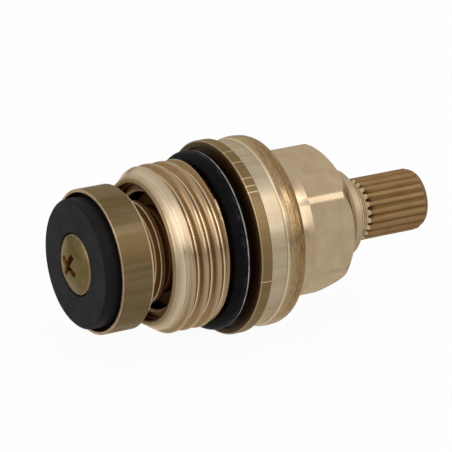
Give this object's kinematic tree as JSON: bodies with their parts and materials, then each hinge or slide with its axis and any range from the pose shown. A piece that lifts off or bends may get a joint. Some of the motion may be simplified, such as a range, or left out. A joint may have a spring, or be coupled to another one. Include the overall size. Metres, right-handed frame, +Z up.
{
  "type": "tap headwork",
  "caption": "Screw-in tap headwork: brass body with thread, flange and hexagon, splined turning spindle, and a sliding plunger cup with a screwed rubber seat washer.",
  "frame": {"origin": "centre of the flange face that seals on the tap body, on the spindle axis", "axes": "+X along the spindle axis from the seat washer to the splined handle end, +Z up, +Y away from the picture's camera side"},
  "size_m": [0.0498, 0.0244, 0.0244],
  "materials": {
    "body_brass": "turned, bright",
    "spindle_brass": "rolled spline, satin",
    "plunger_brass": "turned, satin",
    "screw_brass": "headed, bright",
    "clip_bronze": "drawn wire",
    "seat_rubber": "matt",
    "ring_rubber": "semi-gloss, dusty",
    "slide_plastic": "turned, greased"
  },
  "bodies": {
    "head": {"body": "body_brass", "body_seal_ring": "ring_rubber", "thrust_washer": "slide_plastic"},
    "spindle": {"spindle": "spindle_brass", "spindle_ring_outer": "ring_rubber", "spindle_ring_inner": "ring_rubber", "retaining_clip": "clip_bronze"},
    "plunger": {"plunger": "plunger_brass", "plunger_ring": "ring_rubber", "seat_washer": "seat_rubber", "washer_screw": "screw_brass"}
  },
  "joints": [
    {"name": "spindle_turn", "type": "hinge", "parent": "head", "child": "spindle", "pos_m": [0.0126, 0, 0], "axis": [1, 0, 0], "range_deg": [-468.5, 351.5]},
    {"name": "plunger_slide", "type": "slide", "parent": "head", "child": "plunger", "axis": [1, 0, 0], "range_m": [-0.0026, 0.00195]}
  ],
  "couplings": [
    {"joint": "spindle_turn", "follows": "plunger_slide", "rad_per_m": 3141.6}
  ]
}
